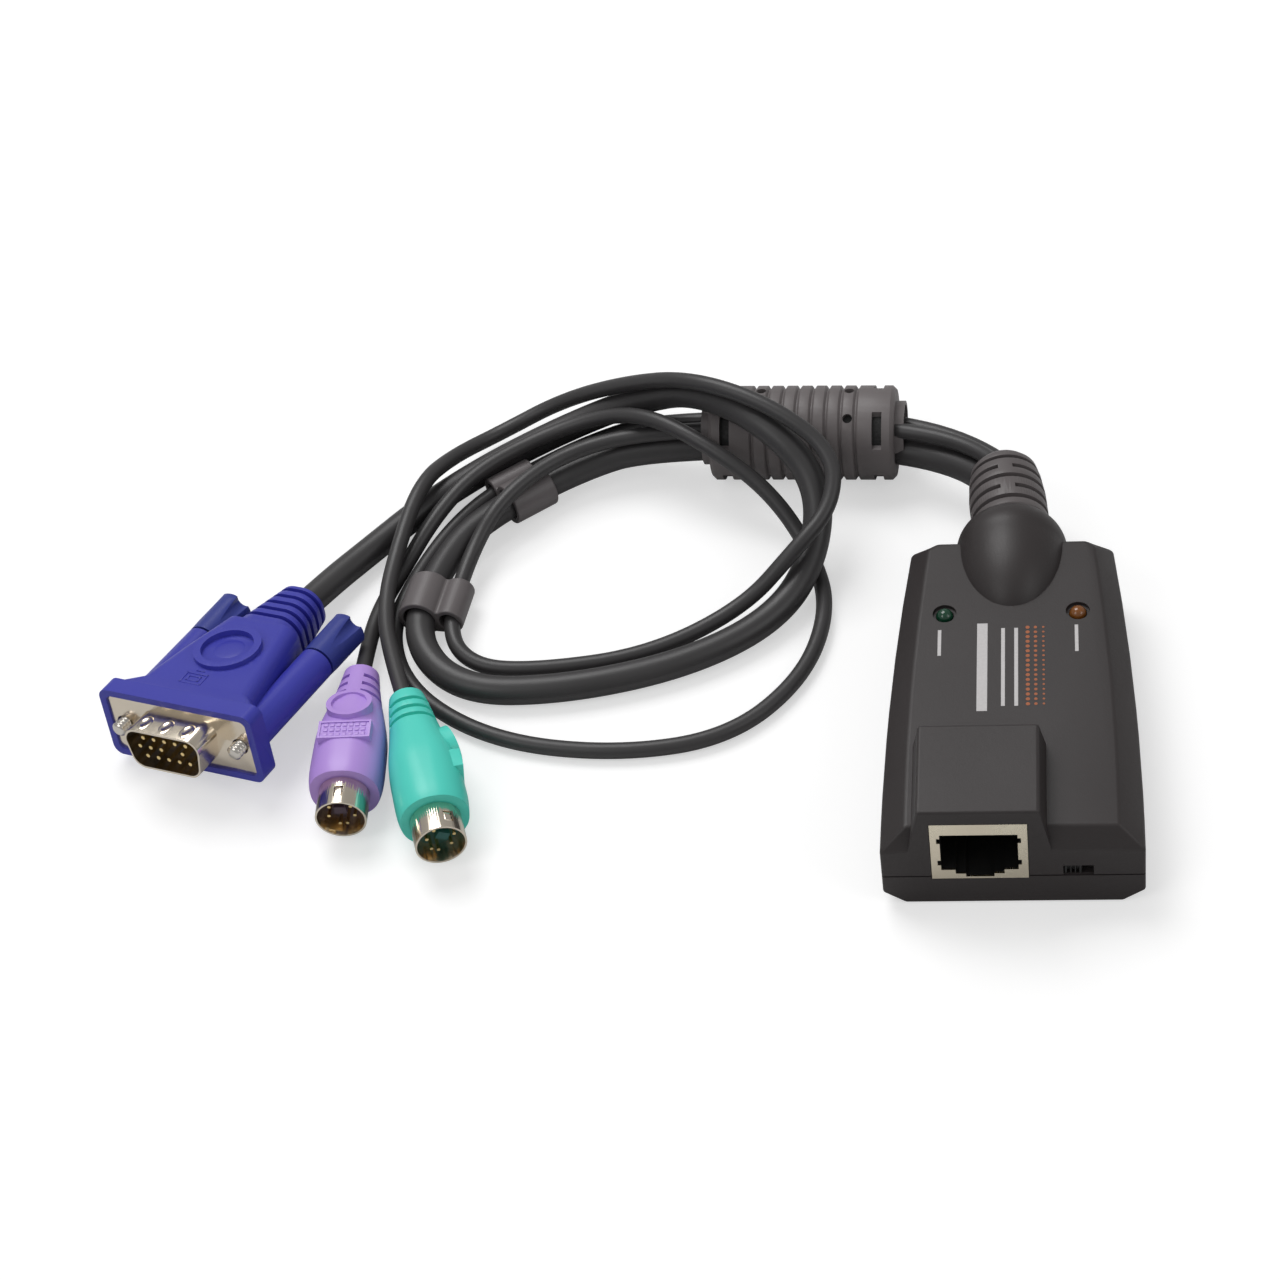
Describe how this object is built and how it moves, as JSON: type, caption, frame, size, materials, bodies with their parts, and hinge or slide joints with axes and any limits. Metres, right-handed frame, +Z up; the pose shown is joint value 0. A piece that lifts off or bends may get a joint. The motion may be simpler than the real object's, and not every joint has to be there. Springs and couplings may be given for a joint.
{
  "type": "kvm dongle",
  "caption": "Small faceted adapter module with a network socket, slide switch and lamps, and looped cords with a choke, clips, a video plug and round plugs.",
  "frame": {"origin": "on the table under the middle of the module, between its front face and the end of its strain relief", "axes": "+Z up, +Y from the network socket towards the cord end, +X to the right"},
  "size_m": [0.1838, 0.1213, 0.0271],
  "materials": {
    "case": "fine grained dark warm grey moulding",
    "relief_rubber": "soft dark grey",
    "jack_metal": "bright nickel plate",
    "jack_plastic": "black",
    "gold": "gold flash",
    "board": "green solder mask",
    "switch_plastic": "black",
    "green_lens": "tinted lens",
    "amber_lens": "tinted lens",
    "tin": "tinned",
    "chip_black": "black epoxy",
    "capacitor_sleeve": "dark sleeve",
    "header_white": "natural nylon",
    "screw_steel": "zinc",
    "cord_pvc": "dark grey soft jacket",
    "choke_plastic": "dark grey moulding",
    "ferrite": "fired ferrite",
    "clip_plastic": "dark grey",
    "video_blue": "satin blue",
    "plug_nickel": "nickel plate",
    "insulator_black": "black",
    "keyboard_purple": "satin purple",
    "insulator_violet": "dark violet",
    "mouse_green": "satin green",
    "insulator_teal": "dark teal"
  },
  "bodies": {
    "root": {"top_shell": "case", "bottom_shell": "case", "strain_relief": "relief_rubber", "rj45_shield": "jack_metal", "rj45_insert": "jack_plastic", "rj45_contacts": "gold", "circuit_board": "board", "switch_frame": "jack_metal", "indicator_left": "green_lens", "indicator_right": "amber_lens", "indicator_leads": "tin", "main_chip": "chip_black", "second_chip": "chip_black", "crystal": "tin", "capacitors": "capacitor_sleeve", "cable_header": "header_white", "housing_screws": "screw_steel", "video_cord": "cord_pvc", "keyboard_cord": "cord_pvc", "mouse_cord": "cord_pvc", "choke_moulding": "choke_plastic", "ferrite_core": "ferrite", "clip_front": "clip_plastic", "clip_middle": "clip_plastic", "video_hood": "video_blue", "video_shell": "plug_nickel", "video_insulator": "insulator_black", "video_pins": "gold", "keyboard_boot": "keyboard_purple", "keyboard_can": "plug_nickel", "keyboard_insulator": "insulator_violet", "keyboard_pins": "gold", "mouse_boot": "mouse_green", "mouse_can": "plug_nickel", "mouse_insulator": "insulator_teal", "mouse_pins": "gold"},
    "slider": {"switch_slider": "switch_plastic"},
    "screw_left": {"thumbscrew_left": "video_blue", "screw_rod_left": "plug_nickel"},
    "screw_right": {"thumbscrew_right": "video_blue", "screw_rod_right": "plug_nickel"}
  },
  "joints": [
    {"name": "switch_slide", "type": "slide", "parent": "root", "child": "slider", "axis": [1, 0, 0], "range_m": [0, 0.0019]},
    {"name": "thumbscrew_left_turn", "type": "hinge", "parent": "root", "child": "screw_left", "pos_m": [-0.15799, -0.01027, 0.0094], "axis": [-0.37, -0.9158, 0.1564], "continuous": true},
    {"name": "thumbscrew_right_turn", "type": "hinge", "parent": "root", "child": "screw_right", "pos_m": [-0.13481, -0.01912, 0.0124], "axis": [-0.37, -0.9158, 0.1564], "continuous": true}
  ]
}
